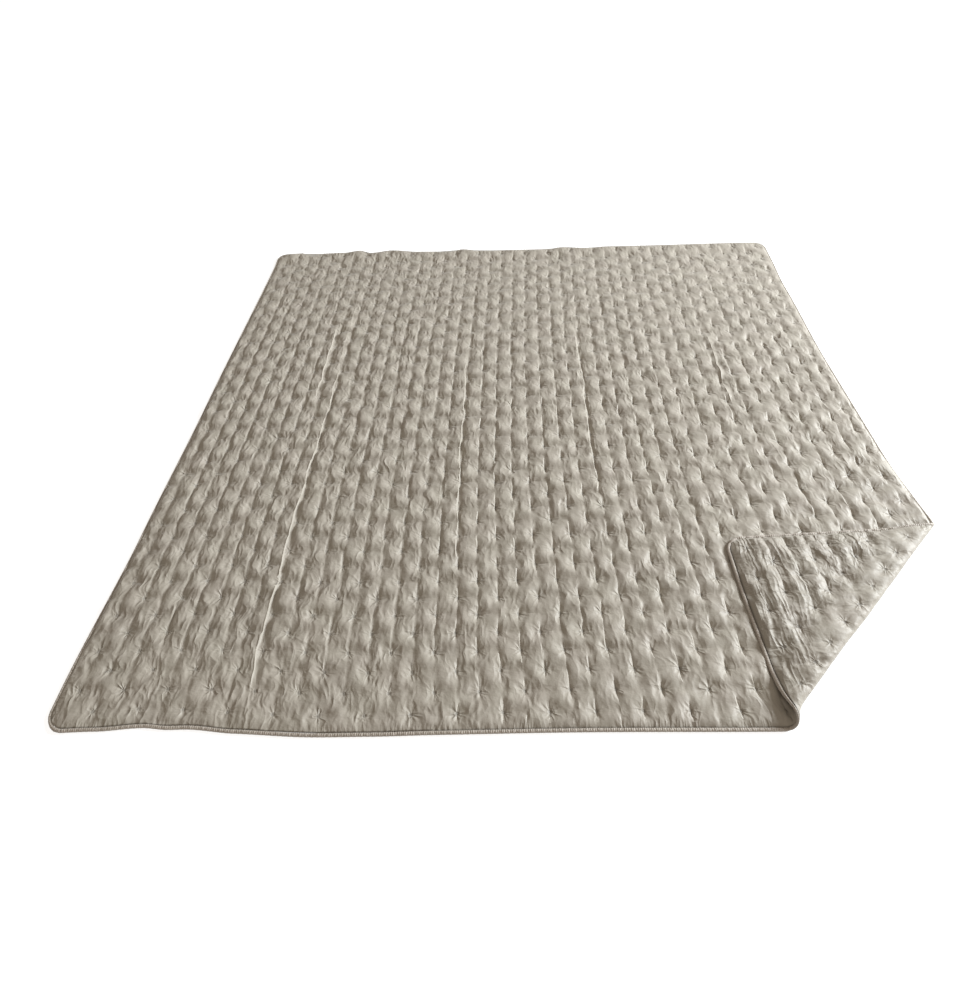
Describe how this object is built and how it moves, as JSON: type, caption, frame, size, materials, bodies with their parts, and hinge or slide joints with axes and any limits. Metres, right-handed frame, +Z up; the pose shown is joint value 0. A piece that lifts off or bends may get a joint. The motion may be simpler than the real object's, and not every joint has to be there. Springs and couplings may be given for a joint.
{
  "type": "quilted bedspread",
  "caption": "Quilted satin bedspread laid flat on a floor, tacked in a half-drop lattice, with a rolled edge binding and one front corner turned back over itself.",
  "frame": {"origin": "middle of the footprint, on the floor", "axes": "+Z up from the floor, +Y from the front edge to the back edge along the tacks, +X to the right"},
  "size_m": [2.4042, 2.4418, 0.0488],
  "materials": {
    "quilted_satin": "light taupe satin with a soft sheen",
    "binding_satin": "the same light taupe satin, rolled round the edge"
  },
  "bodies": {
    "root": {"quilt": "quilted_satin", "binding": "binding_satin"}
  },
  "joints": []
}
